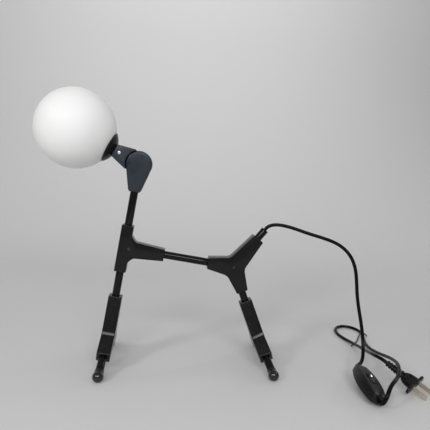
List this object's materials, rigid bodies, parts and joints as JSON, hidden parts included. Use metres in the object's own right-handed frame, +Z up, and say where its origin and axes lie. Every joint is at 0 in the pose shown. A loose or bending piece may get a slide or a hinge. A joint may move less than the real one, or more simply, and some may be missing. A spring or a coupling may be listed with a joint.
{
  "type": "table lamp",
  "caption": "Dog-shaped table lamp: round opal globe head on a tilting, turning neck, black tube body, forked legs on ball feet, cord with rocker switch and plug.",
  "frame": {"origin": "on the table, in the middle of the lamp without its cord", "axes": "+X from the head to the tail, +Y from the near side to the far side, +Z up"},
  "size_m": [0.4953, 0.2667, 0.3535],
  "materials": {
    "opal_glass": "opal white, polished",
    "cap_enamel": "satin black enamel",
    "joint_plastic": "fine satin, dark blue grey",
    "connector_plastic": "fine satin, black",
    "black_tube": "gloss black paint",
    "foot_plastic": "gloss black",
    "cord_vinyl": "gloss black vinyl",
    "switch_plastic": "satin black",
    "plug_vinyl": "semi gloss black",
    "steel": "bright zinc plated",
    "dark_steel": "dark oxide",
    "nickel": "nickel plated",
    "brass": "plain",
    "ceramic": "glazed, off white",
    "bulb_glass": "frosted",
    "fibre": "plain fibre",
    "tie_vinyl": "olive grey"
  },
  "bodies": {
    "frame": {"neck_tube": "black_tube", "shoulder_near_shell": "connector_plastic", "shoulder_far_shell": "connector_plastic", "shoulder_screw": "dark_steel", "body_tube": "black_tube", "hip_near_shell": "connector_plastic", "hip_far_shell": "connector_plastic", "hip_screw": "dark_steel", "tail_tube": "black_tube", "tail_bush": "cord_vinyl", "body_lead": "cord_vinyl", "front_leg_tube": "black_tube", "front_fork_fore_shell": "connector_plastic", "front_fork_aft_shell": "connector_plastic", "front_fork_screw": "dark_steel", "front_near_foot_tube": "black_tube", "front_far_foot_tube": "black_tube", "front_near_ball": "foot_plastic", "front_far_ball": "foot_plastic", "rear_leg_tube": "black_tube", "rear_fork_fore_shell": "connector_plastic", "rear_fork_aft_shell": "connector_plastic", "rear_fork_screw": "dark_steel", "rear_near_foot_tube": "black_tube", "rear_far_foot_tube": "black_tube", "rear_near_ball": "foot_plastic", "rear_far_ball": "foot_plastic", "cord_to_switch": "cord_vinyl", "cord_to_plug": "cord_vinyl", "cord_tie": "tie_vinyl", "switch_base": "switch_plastic", "switch_cover": "switch_plastic", "switch_screws": "steel", "rocker_pin": "steel", "switch_contacts": "brass", "plug_body": "plug_vinyl", "plug_pins": "nickel"},
    "swivel": {"joint_housing": "joint_plastic", "pivot_bolt": "steel", "pivot_nut": "steel", "friction_washer": "fibre", "spring_washer": "steel", "housing_grub_screw": "steel"},
    "head": {"head_knuckle": "joint_plastic", "knuckle_grub_screw": "steel", "head_lead": "cord_vinyl", "holder_nipple": "steel", "nipple_nut": "steel", "shade_cap": "cap_enamel", "lamp_holder": "ceramic", "bulb": "bulb_glass", "globe_shade": "opal_glass"},
    "rocker": {"switch_rocker": "switch_plastic"}
  },
  "joints": [
    {"name": "neck_turn", "type": "hinge", "parent": "frame", "child": "swivel", "pos_m": [-0.02666, 0, 0.26226], "axis": [0.1516, 0, 0.9884], "range_deg": [-90, 90]},
    {"name": "head_tilt", "type": "hinge", "parent": "swivel", "child": "head", "pos_m": [-0.02666, 0, 0.26226], "axis": [0, 1, 0], "range_deg": [-2, 140]},
    {"name": "switch_rocker", "type": "hinge", "parent": "frame", "child": "rocker", "pos_m": [0.25606, -0.09237, 0.01691], "axis": [-0.9226, -0.0276, 0.3848], "range_deg": [0, 16]}
  ]
}
